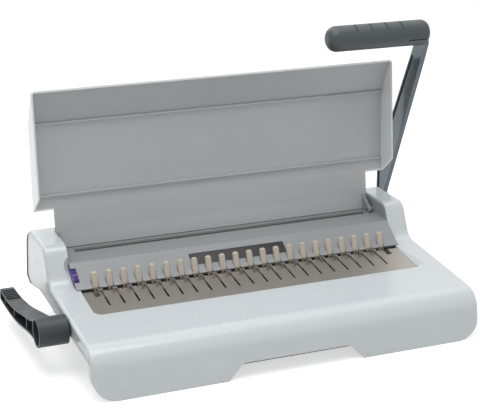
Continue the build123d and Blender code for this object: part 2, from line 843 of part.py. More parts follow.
with BuildPart() as finger:
    side_slab(
        [
            (finger_shoulder[0] + finger_lip, finger_foot_z),
            (finger_shoulder[0] + finger_lip, finger_shoulder[1]),
            finger_shoulder,
            finger_neck,
            (finger_tip[0] + finger_depth / 2, finger_tip[1]),
            (finger_neck[0] + finger_depth, finger_neck[1]),
            rear_shoulder,
            (rear_shoulder[0], finger_foot_z),
        ],
        -finger_width / 2,
        finger_width / 2,
    )
    with BuildSketch(Plane.XZ) as finger_front_view:
        with BuildLine():
            Polyline(
                (finger_stem_shift - finger_foot_width / 2, finger_foot_z),
                (finger_stem_shift - finger_stem_width / 2, finger_shoulder[1]),
                (-finger_width / 2, finger_shoulder[1]),
                (-finger_width / 2, finger_tip[1] - finger_tip_taper),
                (-finger_tip_width / 2, finger_tip[1]),
                (finger_tip_width / 2, finger_tip[1]),
                (finger_width / 2, finger_tip[1] - finger_tip_taper),
                (finger_width / 2, finger_shoulder[1]),
                (finger_stem_shift + finger_stem_width / 2, finger_shoulder[1]),
                (finger_stem_shift + finger_foot_width / 2, finger_foot_z),
                close=True,
            )
        make_face()
    extrude(amount=2 * finger_tip[1], both=True, mode=Mode.INTERSECT)
    # both front edges of the body are bevelled, along its leaning front face
    along_finger = (0, sin(finger_lean), cos(finger_lean))
    front_foot = Plane((0, *finger_shoulder), (1, 0, 0), along_finger)
    with BuildSketch(front_foot.offset(finger_bevel * sin(finger_lean))) as bevels:
        for side in (-1, 1):
            flank = side * finger_width / 2
            with BuildLine():
                Polyline((flank, 0), (flank - side * finger_bevel, 0), (flank, finger_bevel), close=True)
            make_face()
    extrude(bevels.sketch, amount=finger_tip[1], mode=Mode.SUBTRACT)
    hole = (finger_hole_left, finger_hole_right, 2 * finger_shoulder[0], 0)
    block(*hole, finger_hole_low, finger_hole_high, Mode.SUBTRACT)

with BuildPart() as comb_fingers:
    rail = (-cheek_wall_x, cheek_wall_x, rear_shoulder[0], rail_rear)
    block(*rail, finger_foot_z, finger_foot_z + rail_height)
    rod(wheel_axis, wheel_radius + wheel_gap, *wheel_bay, Mode.SUBTRACT)
    with Locations([(finger_x(index), 0, 0) for index in range(finger_count)]):
        add(finger.part)

# ================================================================ comb hooks and slider
hook_front = along_plate(hook_y)
bar_top = -plate_thickness - slider_gap
bar_under = bar_top - hook_bar_thickness


def plate_block(x_from, x_to, along_from, along_to, above_from, above_to):
    """A box lined up with the comb plate."""
    corners = [
        on_plate(along_from, above_from),
        on_plate(along_from, above_to),
        on_plate(along_to, above_to),
        on_plate(along_to, above_from),
    ]
    side_slab(corners, x_from, x_to)


with BuildPart() as hook_bar:
    bar_rear = along_plate(hook_bar_rear)
    bar_ends = (-hook_bar_half_length, hook_bar_half_length)
    plate_block(*bar_ends, bar_rear - hook_bar_depth, bar_rear, bar_under, bar_top)

with BuildPart() as comb_hooks:
    for index in range(punch_count):
        stem_x = finger_x(index) + hook_offset
        head_left = stem_x + hook_thickness / 2 - hook_head_reach
        stem = (stem_x - hook_thickness / 2, stem_x + hook_thickness / 2)
        hook_rear = hook_front + hook_depth
        plate_block(*stem, hook_front, hook_rear, bar_top, hook_head_top)
        head = (head_left, stem[1], hook_front, hook_rear)
        plate_block(*head, hook_head_top - hook_head_height, hook_head_top)

pitch_line = bar_under - rack_body - root_factor * lever_module
contact = along_plate(rack_contact_y)
cross_axis = on_plate(contact, pitch_line - lever_pitch_radius)
rack_start = along_plate(lever_rack_front)
rack_length = along_plate(lever_rack_rear) - rack_start
first_lever_tooth = (contact - rack_start) % (pi * lever_module)

with BuildPart() as slider_racks:
    lever_rack = rack_corners(lever_module, rack_length, rack_body, first_lever_tooth)
    for side in (-1, 1):
        corners = [on_plate(rack_start + along, pitch_line + above) for along, above in lever_rack]
        side_slab(corners, side * lever_rack_inner, side * (lever_rack_inner + lever_rack_width))

# ================================================================ comb lever, tie rod and cross shaft
lever_pin = on_crank(lever_axis, crank_rest_angle)
cross_pin = on_crank(cross_axis, crank_rest_angle)
crank_x = lever_crank_x + crank_thickness
rod_x = crank_x + side_gap
cross_crank_x = rod_x + rod_thickness + side_gap


def lever_arm(inset, x_to):
    """The lever's curved arm in the side view, drawn in by an inset, carried from the outer face to x_to."""
    top = [(y, z - inset) for y, z in lever_top[:-1]]
    top.append((lever_top[-1][0] - inset, lever_top[-1][1] - inset))
    under = [(lever_under[0][0] - inset, lever_under[0][1] + inset)]
    under.extend((y, z + inset) for y, z in lever_under[1:])
    with BuildSketch(Plane.YZ.offset(lever_outer_x)) as view:
        with BuildLine():
            Spline(*top)
            Line(top[-1], under[0])
            Spline(*under)
            Line(under[-1], top[0])
        make_face()
    extrude(view.sketch, amount=x_to - lever_outer_x)
    with BuildSketch(Plane.XY) as taper:
        with BuildLine():
            Polyline(
                (x_to, lever_top[0][0]),
                (x_to + lever_tip_x - lever_root_x, lever_under[0][0]),
                (x_to, lever_under[0][0]),
                close=True,
            )
        make_face()
    extrude(taper.sketch, amount=case_top, mode=Mode.SUBTRACT)


with BuildPart() as lever_pocket:
    lever_arm(lever_arm_wall, lever_root_x - lever_arm_wall)
    for rib_y in lever_rib_ys:
        rib = (lever_outer_x + lever_rib_sink, lever_root_x, rib_y, rib_y + lever_rib)
        block(*rib, 0, case_top, Mode.SUBTRACT)

with BuildPart() as comb_lever:
    lever_arm(0, lever_root_x)
    add(lever_pocket.part, mode=Mode.SUBTRACT)
    rod(lever_axis, hub_radius, lever_outer_x, lever_inner_x)
    rod(lever_axis, hub_radius - hub_wall, lever_outer_x, lever_inner_x - hub_web, Mode.SUBTRACT)
    rod(lever_axis, boss_outer_radius, lever_screw_x, lever_inner_x)
    rod(lever_axis, lever_shaft_radius, lever_screw_x, lever_inner_x, Mode.SUBTRACT)
    for index in range(lever_grip_ridges):
        ridge_y = lever_grip_front + index * lever_grip_pitch
        ridge = (ridge_y, ridge_y + lever_grip_width, lever_grip_z, lever_grip_z + lever_grip_height)
        block(lever_outer_x, lever_tip_x, *ridge)

with BuildPart() as lever_shaft:
    rod(lever_axis, lever_shaft_radius, lever_screw_x, crank_x)
    rod(lever_axis, screw_radius, lever_screw_x, lever_screw_x + lever_screw_length, Mode.SUBTRACT)

with BuildPart() as lever_screw:
    rod(lever_axis, lever_screw_head, lever_screw_x - screw_head_height, lever_screw_x)
    rod(lever_axis, screw_radius, lever_screw_x, lever_screw_x + lever_screw_length)

with BuildPart() as lever_crank:
    crank_radii = (crank_hub_radius, crank_eye_radius, crank_eye_radius)
    link(lever_axis, lever_pin, *crank_radii, lever_crank_x, crank_x)
    rod(lever_axis, lever_shaft_radius, lever_crank_x, crank_x, Mode.SUBTRACT)
    rod(lever_pin, link_pin_radius, crank_x, rod_x + rod_thickness)

with BuildPart() as tie_rod:
    rod_sides = (rod_x, rod_x + rod_thickness)
    link(lever_pin, cross_pin, crank_eye_radius, crank_eye_radius, rod_half_height, *rod_sides)
    for pin in (lever_pin, cross_pin):
        rod(pin, link_pin_radius + running_gap, *rod_sides, Mode.SUBTRACT)

with BuildPart() as cross_crank:
    cross_crank_right = cross_crank_x + crank_thickness
    link(cross_axis, cross_pin, *crank_radii, cross_crank_x, cross_crank_right)
    rod(cross_axis, cross_shaft_radius, cross_crank_x, cross_crank_right, Mode.SUBTRACT)
    rod(cross_pin, link_pin_radius, rod_x, cross_crank_x)

with BuildPart() as cross_shaft:
    rod(cross_axis, cross_shaft_radius, cross_crank_x, bracket_inner + bracket_thickness)

with BuildPart() as cross_pinions:
    for side in (-1, 1):
        pinion_sides = (side * lever_rack_inner, side * (lever_rack_inner + lever_rack_width))
        pinion(lever_module, lever_teeth, cross_axis, 90 + plate_angle, *pinion_sides)
        rod(cross_axis, cross_shaft_radius, *pinion_sides, Mode.SUBTRACT)

with BuildPart() as shaft_brackets:
    floor_top = base_floor + base_wall
    for side in (-1, 1):
        bracket = (side * bracket_inner, side * (bracket_inner + bracket_thickness))
        bracket_depth = (cross_axis[0] - bracket_half, cross_axis[0] + bracket_half)
        block(*bracket, *bracket_depth, floor_top, cross_axis[1])
        rod(cross_axis, bracket_half, *bracket)
        rod(cross_axis, cross_shaft_radius + running_gap, *bracket, Mode.SUBTRACT)
    post = (lever_post_x, lever_post_x + bracket_thickness)
    post_depth = (lever_axis[0] - bracket_half, lever_axis[0] + bracket_half)
    block(*post, *post_depth, floor_top, lever_axis[1])
    rod(lever_axis, lever_post_radius, *post)
    rod(lever_axis, lever_shaft_radius + running_gap, *post, Mode.SUBTRACT)

with BuildPart() as lever_bush:
    rod(lever_axis, lever_bush_radius, -case_half_width, lever_bush_end)
    with BuildPart(mode=Mode.PRIVATE) as bush_tongue:
        add(outer_form.part)
        block(
            -case_half_width,
            -case_inside,
            lever_axis[0] - lever_bush_radius,
            lever_axis[0] + lever_bush_radius,
            0,
            lever_axis[1],
            Mode.INTERSECT,
        )
    add(bush_tongue.part)
    rod(lever_axis, lever_shaft_radius + running_gap, -case_half_width, lever_bush_end, Mode.SUBTRACT)

# ================================================================ punch unit
with BuildPart() as punch_frame:
    for side in (-1, 1):
        side_slab(
            [
                (frame_front, floor_top),
                (frame_foot_rear, floor_top),
                (frame_foot_rear, base_rim_z + 1),
                (handle_axis[0] + frame_ring, handle_axis[1] - frame_ring),
                (handle_axis[0] + frame_ring, handle_axis[1] + frame_ring),
                (frame_foot_rear, frame_top),
                (frame_front, frame_top),
            ],
            side * frame_inner,
            side * (frame_inner + frame_thickness),
        )
        frame_sides = (side * frame_inner, side * (frame_inner + frame_thickness))
        rod(handle_axis, handle_shaft_radius + running_gap, *frame_sides, Mode.SUBTRACT)

throat_near = throat_centre_y - throat_gap / 2
throat_far = throat_centre_y + throat_gap / 2


def punch_row(y_from, y_to, clearance, mode=Mode.ADD):
    """The row of rectangular punches, or their holes when a clearance is given."""
    for index in range(punch_count):
        x = (index - (punch_count - 1) / 2) * finger_pitch
        half = punch_width / 2 + clearance
        high = punch_height / 2 + clearance
        block(x - half, x + half, y_from, y_to, punch_z - high, punch_z + high, mode)


with BuildPart() as die_plate:
    block(-frame_inner, frame_inner, throat_near - die_thickness, throat_near, die_bottom, die_top)
    block(-frame_inner, guide_cut_x, 0, throat_centre_y, guide_cut_z, case_top, Mode.SUBTRACT)
    punch_row(0, well_rear, punch_clearance, Mode.SUBTRACT)

with BuildPart() as punch_guide:
    block(-frame_inner, frame_inner, throat_far, throat_far + die_thickness, die_bottom, die_top)
    punch_row(0, well_rear, punch_clearance, Mode.SUBTRACT)

with BuildPart() as throat_stop:
    block(-frame_inner, frame_inner, throat_near, throat_far, stop_top - stop_height, stop_top)

with BuildPart() as punch_bar:
    bar_rear_y = punch_bar_front + punch_bar_depth
    bar_section = (punch_bar_front, bar_rear_y, punch_bar_bottom, punch_bar_top)
    block(-punch_bar_half_length, punch_bar_half_length, *bar_section)
    wing_end = frame_inner - frame_thickness
    wing_under = punch_rack_pitch_z + root_factor * handle_module
    block(-wing_end, wing_end, punch_bar_front, bar_rear_y, wing_under, punch_bar_top)

with BuildPart() as punches:
    punch_row(punch_tip_y, punch_bar_front, 0)

with BuildPart() as punch_racks:
    first_handle_tooth = (handle_axis[0] - bar_rear_y) % (pi * handle_module)
    wing_body = punch_bar_top - wing_under
    handle_rack = rack_corners(handle_module, rack_rear - bar_rear_y, wing_body, first_handle_tooth)
    for side in (-1, 1):
        corners = [(bar_rear_y + along, punch_rack_pitch_z + above) for along, above in handle_rack]
        side_slab(corners, side * handle_rack_inner, side * (handle_rack_inner + handle_rack_width))

with BuildPart() as handle_shaft:
    rod(handle_axis, handle_shaft_radius, -frame_inner - 2 * frame_thickness, shaft_end_x)

with BuildPart() as punch_pinions:
    for side in (-1, 1):
        pinion_sides = (side * handle_rack_inner, side * (handle_rack_inner + handle_rack_width))
        pinion(handle_module, handle_teeth, handle_axis, 90, *pinion_sides)
        rod(handle_axis, handle_shaft_radius, *pinion_sides, Mode.SUBTRACT)

with BuildPart() as handle_bush:
    bush = (case_inside - case_wall, case_half_width + side_gap)
    rod(handle_axis, handle_bush_radius, *bush)
    rod(handle_axis, handle_shaft_radius + running_gap, *bush, Mode.SUBTRACT)

# ================================================================ handle
def run_y(first, second, z):
    """Depth at a height z of the straight run through two (Y, Z) points."""
    return first[0] + (z - first[1]) * (second[0] - first[0]) / (second[1] - first[1])


def line_y(points, z):
    """Depth at a height z of a line of straight runs that goes up."""
    index = sum(1 for point in points[1:-1] if point[1] < z)
    return run_y(points[index], points[index + 1], z)


arm_foot = [arm_back_high, arm_back_low, arm_foot_rear, arm_foot_front, arm_knee]
arm_outline = [arm_elbow, arm_top_front, arm_top_rear, *arm_foot]
recess_top = [
    (run_y(arm_elbow, arm_top_front, arm_recess_top), arm_recess_top),
    (run_y(arm_top_rear, arm_back_high, arm_recess_top), arm_recess_top),
]
recess_outline = [arm_elbow, *recess_top, *arm_foot]
foot_rounds = [(arm_back_high, arm_back_round), (arm_back_low, arm_back_round)]
arm_rounds = [*foot_rounds, (arm_top_rear, arm_corner_round)]
recess_rounds = [*foot_rounds, *((corner, arm_recess_round) for corner in recess_top)]
tongue_depth = (grip_axis[0] - tongue_half, grip_axis[0] + tongue_half)
tongue = (*tongue_depth, arm_top_front[1], grip_axis[1])
arm_sides = (arm_inner_x, arm_outer_x)

with BuildPart() as handle_arm:
    side_slab(arm_outline, *arm_sides, arm_rounds)
    side_slab(recess_outline, arm_inner_x, arm_inner_x + arm_recess, recess_rounds, arm_rim, Mode.SUBTRACT)
    block(*arm_sides, *tongue)
    rod(handle_axis, hub_plate_radius, hub_inner_x, arm_outer_x)
    rod(grip_axis, arm_head_radius, *arm_sides)
    rod(handle_axis, handle_shaft_radius, hub_inner_x, arm_outer_x, Mode.SUBTRACT)
    rod(grip_axis, grip_rod_radius, *arm_sides, Mode.SUBTRACT)

with BuildPart() as grip_rod:
    rod(grip_axis, grip_rod_radius, grip_left_x + grip_radius, arm_outer_x)

with BuildPart() as shaft_ring:
    rod(handle_axis, ring_radius, arm_outer_x, shaft_end_x)
    rod(handle_axis, handle_shaft_radius, arm_outer_x, shaft_end_x, Mode.SUBTRACT)

with BuildPart() as grip_form:
    rod(grip_axis, grip_radius, grip_left_x, grip_right_x)
    fillet(grip_form.edges().group_by(Axis.X)[0], grip_dome)
    fillet(grip_form.edges().group_by(Axis.X)[-1], grip_end_round)
    rod(grip_axis, grip_rod_radius, grip_left_x + grip_radius, arm_outer_x, Mode.SUBTRACT)
    rod(grip_axis, arm_head_radius, *arm_sides, Mode.SUBTRACT)
    block(*arm_sides, *tongue, Mode.SUBTRACT)

with BuildPart() as grip_upper:
    add(grip_form.part)
    grip_high = grip_axis[1] + grip_radius
    grip_depth = (grip_axis[0] - grip_radius, grip_axis[0] + grip_radius)
    block(0, 2 * grip_right_x, *grip_depth, grip_seam_z, grip_high, Mode.INTERSECT)
    # grooves over the top of the grip
    with BuildPart(mode=Mode.PRIVATE) as grip_grooves:
        for index in range(grip_groove_count):
            groove_x = grip_groove_left + index * grip_groove_pitch
            groove = (groove_x, groove_x + grip_groove_width)
            rod(grip_axis, grip_radius + grip_groove_depth, *groove)
            rod(grip_axis, grip_radius - grip_groove_depth, *groove, Mode.SUBTRACT)
        around_top = (grip_groove_low, grip_high + grip_groove_depth)
        block(0, 2 * grip_right_x, *grip_depth, *around_top, Mode.INTERSECT)
    add(grip_grooves.part, mode=Mode.SUBTRACT)

with BuildPart() as grip_lower:
    add(grip_form.part)
    block(0, 2 * grip_right_x, *grip_depth, 0, grip_seam_z, Mode.INTERSECT)
    # open seam under the upper half, beside the arm
    with BuildPart(mode=Mode.PRIVATE) as seam:
        rod(grip_axis, grip_radius + grip_seam_depth, grip_seam_left, grip_right_x + grip_seam_depth)
        rod(grip_axis, grip_radius - grip_seam_depth, grip_seam_left, grip_right_x, Mode.SUBTRACT)
        seam_band = (grip_seam_z - grip_seam_depth, grip_seam_z)
        block(0, 2 * grip_right_x, 0, 2 * handle_axis[0], *seam_band, Mode.INTERSECT)
    add(seam.part, mode=Mode.SUBTRACT)

# ================================================================ lid
lid_line = [neck_foot, neck_middle, lid_sill, lid_low_bend, lid_high_bend, lid_top]
lid_back = shifted(lid_line, lid_panel)
lid_rear_y = max(y for y, z in lid_back)


def lid_front_view(inset, low_z):
    """Keeps what lies within the lid's outline seen from the front, with its upper corners rounded."""
    with BuildSketch(Plane.XZ) as view:
        with Locations((0, (low_z + rim_top[1] - inset) / 2)):
            Rectangle(2 * (lid_half_width - inset), rim_top[1] - inset - low_z)
        fillet(view.vertices().group_by(Axis.Y)[-1], lid_corner - inset)
    extrude(view.sketch, amount=2 * case_half_width, both=True, mode=Mode.INTERSECT)


with BuildPart() as lid_cavity:
    ceiling = (run_y(lid_high_bend, lid_top, lid_ceiling_z), lid_ceiling_z)
    mouth = [(0, lid_ceiling_z), (0, lid_sill[1])]
    side_slab([*lid_line[2:5], ceiling, *mouth], -lid_half_width, lid_half_width)
    lid_front_view(lid_wall, lid_low)

with BuildPart() as lid_liner:
    side_slab(band(lid_line, lid_liner_thickness), -lid_half_width, lid_half_width)
    for bend in (lid_low_bend, lid_high_bend):
        rib_depths = (bend[0] - rib_depth, bend[0] + lid_liner_thickness / 2)
        block(-lid_half_width, lid_half_width, *rib_depths, bend[1], bend[1] + rib_thickness)
    block(-lid_half_width, lid_half_width, 0, lid_rear_y, 0, lid_ceiling_z - liner_gap, Mode.INTERSECT)
    lid_front_view(lid_wall + liner_gap, lid_low)
    for side in (-1, 1):
        beside_neck = (side * neck_half_width, side * lid_half_width, 0, lid_rear_y)
        block(*beside_neck, 0, lid_sill[1] + lid_lip, Mode.SUBTRACT)

with BuildPart() as lid_shell:
    side_slab([lid_sill, *lid_back[2:], rim_top, rim_low], -lid_half_width, lid_half_width)
    lid_front_view(0, lid_low)
    corner_x = lid_half_width - lid_corner
    around = []
    for edge in lid_shell.edges():
        middle = edge.center()
        on_back = abs(middle.Y - line_y(lid_back[2:], middle.Z)) < edge_slack
        if on_back and (abs(middle.X) > corner_x or middle.Z > lid_top[1]):
            around.append(edge)
    fillet(around, lid_round)
    add(lid_cavity.part, mode=Mode.SUBTRACT)
    neck_corners = lid_line[:3] + lid_back[:3][::-1]
    side_slab(neck_corners, -neck_half_width, neck_half_width)
    add(lid_liner.part, mode=Mode.SUBTRACT)

with BuildPart() as hinge_ears:
    for side in (-1, 1):
        ear = (side * ear_inner, side * (ear_inner + ear_thickness))
        rod(lid_axis, ear_radius, *ear)
        side_slab(
            [
                (lid_axis[0] - ear_radius / 2, lid_axis[1] + ear_radius * sqrt(3) / 2),
                neck_middle,
                neck_foot,
                (lid_axis[0], lid_axis[1] - ear_radius + ear_gap),
            ],
            *ear,
        )
        rod(lid_axis, hinge_pin_radius, *ear, Mode.SUBTRACT)

with BuildPart() as hinge_pins:
    for side in (-1, 1):
        rod(lid_axis, hinge_pin_radius, side * (ear_inner - side_gap), side * hinge_pin_end)

# ================================================================ base tray, feet, screws, drawer
with BuildPart() as base_tray:
    block(-base_half_width, base_half_width, base_front, base_rear, base_floor, base_rim_z)
    inner_half = base_half_width - base_wall
    inner_depth = (base_front + base_wall, base_rear - base_wall)
    block(-inner_half, inner_half, *inner_depth, floor_top, base_rim_z, Mode.SUBTRACT)
    for side in (-1, 1):
        flange = (side * base_half_width, side * flange_half_width)
        block(*flange, base_front, flange_rear, base_rim_z - base_wall, base_rim_z)
    shaft_slot = (lever_axis[0] - lever_slot_half, lever_axis[0] + lever_slot_half)
    block(-flange_half_width, -inner_half, *shaft_slot, lever_slot_z, base_rim_z, Mode.SUBTRACT)
    port = (-drawer_port_half, drawer_port_half, base_rear - base_wall, base_rear)
    block(*port, floor_top, drawer_port_top, Mode.SUBTRACT)
    for side in (-1, 1):
        for boss_y in (boss_front_y, boss_rear_y):
            with Locations((side * boss_x, boss_y, base_rim_z - base_wall / 2)):
                Cylinder(screw_radius + screw_gap, base_wall, mode=Mode.SUBTRACT)

with BuildPart() as casing_screws:
    for side in (-1, 1):
        for boss_y in (boss_front_y, boss_rear_y):
            screw_low = base_rim_z - base_wall
            with Locations((side * boss_x, boss_y, (screw_low + base_rim_z + screw_grip) / 2)):
                Cylinder(screw_radius, base_wall + screw_grip)
            with Locations((side * boss_x, boss_y, screw_low - screw_head_height / 2)):
                Cylinder(screw_head_radius, screw_head_height)

with BuildPart() as rubber_feet:
    for side in (-1, 1):
        for foot_y in (foot_front_y, foot_rear_y):
            with Locations((side * foot_x, foot_y, base_floor / 2)):
                Cylinder(foot_radius, base_floor)

with BuildPart() as chip_drawer:
    drawer_depth = (drawer_front_y, base_rear + drawer_gap)
    block(-drawer_half_width, drawer_half_width, *drawer_depth, drawer_bottom, drawer_top)
    block(
        -drawer_half_width + drawer_wall,
        drawer_half_width - drawer_wall,
        drawer_front_y + drawer_wall,
        base_rear + drawer_gap - drawer_wall,
        drawer_bottom + drawer_wall,
        drawer_top,
        Mode.SUBTRACT,
    )
    panel_half = drawer_port_half + drawer_wall / 2
    panel_front_y = base_rear + drawer_gap
    panel_rear_y = panel_front_y + base_wall
    block(-panel_half, panel_half, panel_front_y, panel_rear_y, drawer_bottom, drawer_port_top + drawer_gap)
    # finger lip of the drawer
    lip = (-drawer_lip_half, drawer_lip_half, panel_rear_y, panel_rear_y + drawer_lip_depth)
    block(*lip, drawer_port_top / 2, drawer_port_top / 2 + drawer_wall)

# ================================================================ edge guide
with BuildPart() as thumb_wheel:
    rod(wheel_axis, wheel_radius, wheel_x - wheel_width / 2, wheel_x + wheel_width / 2)
    for index in range(wheel_notches):
        angle = 2 * pi * index / wheel_notches
        notch = (wheel_axis[0] + wheel_radius * cos(angle), wheel_axis[1] + wheel_radius * sin(angle))
        rod(notch, wheel_notch_radius, wheel_x - wheel_width / 2, wheel_x + wheel_width / 2, Mode.SUBTRACT)
    rod(wheel_axis, lead_screw_radius, wheel_x - wheel_width / 2, wheel_x + wheel_width / 2, Mode.SUBTRACT)

with BuildPart() as lead_screw:
    rod(wheel_axis, lead_screw_radius, -hinge_pin_end, lead_screw_end_x)

with BuildPart() as edge_guide:
    guide = (guide_x, guide_x + guide_width)
    rod(wheel_axis, nut_radius, *guide)
    die_front = throat_near - die_thickness
    block(*guide, wheel_centre_y, die_front, guide_arm_low, guide_arm_low + guide_arm_height)
    block(*guide, die_front - guide_width, throat_centre_y + guide_blade_half, guide_arm_low, guide_top)
    rod(wheel_axis, lead_screw_radius + running_gap, *guide, Mode.SUBTRACT)

# ================================================================ export about the middle of the footprint
pieces = {
    "upper_casing": upper_casing,
    "rear_cover": rear_cover,
    "side_cap": side_cap,
    "comb_plate": comb_plate,
    "guide_panel": guide_panel,
    "panel_window": panel_window,
    "comb_fingers": comb_fingers,
    "hook_bar": hook_bar,
    "comb_hooks": comb_hooks,
    "slider_racks": slider_racks,
    "comb_lever": comb_lever,
    "lever_shaft": lever_shaft,
    "lever_screw": lever_screw,
    "lever_crank": lever_crank,
    "tie_rod": tie_rod,
    "cross_crank": cross_crank,
    "cross_shaft": cross_shaft,
    "cross_pinions": cross_pinions,
    "shaft_brackets": shaft_brackets,
    "lever_bush": lever_bush,
    "punch_frame": punch_frame,
    "die_plate": die_plate,
    "punch_guide": punch_guide,
    "throat_stop": throat_stop,
    "punch_bar": punch_bar,
    "punches": punches,
    "punch_racks": punch_racks,
    "handle_shaft": handle_shaft,
    "punch_pinions": punch_pinions,
    "handle_bush": handle_bush,
    "handle_arm": handle_arm,
    "grip_rod": grip_rod,
    "shaft_ring": shaft_ring,
    "grip_upper": grip_upper,
    "grip_lower": grip_lower,
    "lid_shell": lid_shell,
    "lid_liner": lid_liner,
    "hinge_ears": hinge_ears,
    "hinge_pins": hinge_pins,
    "base_tray": base_tray,
    "casing_screws": casing_screws,
    "rubber_feet": rubber_feet,
    "chip_drawer": chip_drawer,
    "thumb_wheel": thumb_wheel,
    "lead_screw": lead_screw,
    "edge_guide": edge_guide,
}
middle = Location((-(lever_outer_x + grip_right_x) / 2, -(front_y + rear_heel[0]) / 2, 0))
os.makedirs("parts", exist_ok=True)
for name, piece in pieces.items():
    placed = piece.part.moved(middle)
    placed.label = name
    export_step(placed, f"parts/{name}.step")
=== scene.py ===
"""Looks of the comb binding machine: materials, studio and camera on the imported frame.

Lengths are metres of the shared frame, noise scales are features per metre.
"""

import math

import bmesh
import bpy
from mathutils import Matrix, Vector

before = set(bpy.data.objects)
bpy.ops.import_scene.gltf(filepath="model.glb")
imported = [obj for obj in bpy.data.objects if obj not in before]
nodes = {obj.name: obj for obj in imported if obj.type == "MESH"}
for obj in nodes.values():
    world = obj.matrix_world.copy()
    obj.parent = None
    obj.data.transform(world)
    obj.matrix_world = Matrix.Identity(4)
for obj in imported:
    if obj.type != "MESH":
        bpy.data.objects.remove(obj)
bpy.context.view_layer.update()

# ---------------------------------------------------------------- node helpers

MIX_FACTOR, MIX_FIRST, MIX_SECOND = 0, 6, 7
MIX_RESULT = 2
SRGB_TOE_END = 10
SRGB_TOE_SLOPE = 12.92
SRGB_OFFSET = 0.055
SRGB_GAMMA = 2.4
WHITE = (1.0, 1.0, 1.0, 1.0)
FULL_SPAN = (0.0, 1.0)
WIDE_SPAN = (0.3, 0.7)
NARROW_SPAN = (0.35, 0.65)


def new_material(name):
    material = bpy.data.materials.new(name)
    material.use_nodes = True
    tree = material.node_tree
    tree.nodes.clear()
    out = tree.nodes.new("ShaderNodeOutputMaterial")
    shader = tree.nodes.new("ShaderNodeBsdfPrincipled")
    tree.links.new(shader.outputs["BSDF"], out.inputs["Surface"])
    return material, tree, shader


def place_coordinates(tree, stretch=(1.0, 1.0, 1.0)):
    """Object coordinates, which are metres of the shared frame, stretched per axis."""
    coordinates = tree.nodes.new("ShaderNodeTexCoord")
    mapping = tree.nodes.new("ShaderNodeMapping")
    mapping.inputs["Scale"].default_value = stretch
    tree.links.new(coordinates.outputs["Object"], mapping.inputs["Vector"])
    return mapping.outputs["Vector"]


def noise(tree, vector, scale, detail=2.0, rough=0.5):
    node = tree.nodes.new("ShaderNodeTexNoise")
    node.inputs["Scale"].default_value = scale
    node.inputs["Detail"].default_value = detail
    node.inputs["Roughness"].default_value = rough
    tree.links.new(vector, node.inputs["Vector"])
    return node.outputs["Fac"]


def remap(tree, value, from_span, to_span):
    node = tree.nodes.new("ShaderNodeMapRange")
    node.inputs["From Min"].default_value = from_span[0]
    node.inputs["From Max"].default_value = from_span[1]
    node.inputs["To Min"].default_value = to_span[0]
    node.inputs["To Max"].default_value = to_span[1]
    tree.links.new(value, node.inputs["Value"])
    return node.outputs["Result"]


def around(middle, spread):
    return middle - spread, middle + spread


def mix_colour(tree, factor, first, second):
    node = tree.nodes.new("ShaderNodeMix")
    node.data_type = "RGBA"
    for index, value in ((MIX_FIRST, first), (MIX_SECOND, second)):
        if isinstance(value, bpy.types.NodeSocket):
            tree.links.new(value, node.inputs[index])
        else:
            node.inputs[index].default_value = (*value, 1.0)
    tree.links.new(factor, node.inputs[MIX_FACTOR])
    return node.outputs[MIX_RESULT]


def multiply(tree, first, second):
    node = tree.nodes.new("ShaderNodeMath")
    node.operation = "MULTIPLY"
    tree.links.new(first, node.inputs[0])
    tree.links.new(second, node.inputs[1])
    return node.outputs[0]


def bump(tree, shader, height, distance, under):
    """Raises the surface by a height, on top of the normal that is given."""
    node = tree.nodes.new("ShaderNodeBump")
    node.inputs["Distance"].default_value = distance
    node.inputs["Strength"].default_value = 1.0
    tree.links.new(height, node.inputs["Height"])
    tree.links.new(under, node.inputs["Normal"])
    tree.links.new(node.outputs["Normal"], shader.inputs["Normal"])


def srgb_channel(value):
    if value <= SRGB_TOE_END:
        return value / 255 / SRGB_TOE_SLOPE
    return ((value / 255 + SRGB_OFFSET) / (1 + SRGB_OFFSET)) ** SRGB_GAMMA


def srgb(*channels):
    """Linear colour of an 8-bit sRGB one."""
    return tuple(srgb_channel(value) for value in channels)


def shade(colour, factor):
    return tuple(channel * factor for channel in colour)


# ---------------------------------------------------------------- materials

BEVEL_SAMPLES = 4
EDGE_STARTS = 0.02
EDGE_IS_FULL = 0.25
CLOUD_SCALE = 9.0
SCUFF_SCALE = 240.0
SCUFF_ROUGH = 0.7
SCUFF_SPAN = (0.2, 0.9)
RUB_SCALE = 55.0
RUB_DETAIL = 4.0
RUB_ROUGH = 0.6
GRAIN_ROUGH = 0.6
FINE_DETAIL = 3.0
PLASTIC_IOR = 1.5
COAT_ROUGHNESS = 0.1
BRUSH_LENGTHENED = 0.02
BRUSH_ROUGH = 0.7
STAIN_SCALE = 14.0
STREAK_SPAN = (0.0, 0.5)
STREAK_SHADE = 0.88


def edge_mask(tree, radius):
    """Softened normal of the sharp edges, and a mask that is 1 on them."""
    soft = tree.nodes.new("ShaderNodeBevel")
    soft.samples = BEVEL_SAMPLES
    soft.inputs["Radius"].default_value = radius
    plain = tree.nodes.new("ShaderNodeNewGeometry")
    dot = tree.nodes.new("ShaderNodeVectorMath")
    dot.operation = "DOT_PRODUCT"
    tree.links.new(soft.outputs["Normal"], dot.inputs[0])
    tree.links.new(plain.outputs["Normal"], dot.inputs[1])
    mask = remap(tree, dot.outputs["Value"], (1.0 - EDGE_STARTS, 1.0 - EDGE_IS_FULL), FULL_SPAN)
    return soft.outputs["Normal"], mask


def clouded(tree, vector, scale, colour, cloud):
    """A colour that drifts between slightly darker and slightly lighter."""
    drift = remap(tree, noise(tree, vector, scale, FINE_DETAIL), WIDE_SPAN, FULL_SPAN)
    return mix_colour(tree, drift, shade(colour, 1.0 - cloud), shade(colour, 1.0 + cloud))


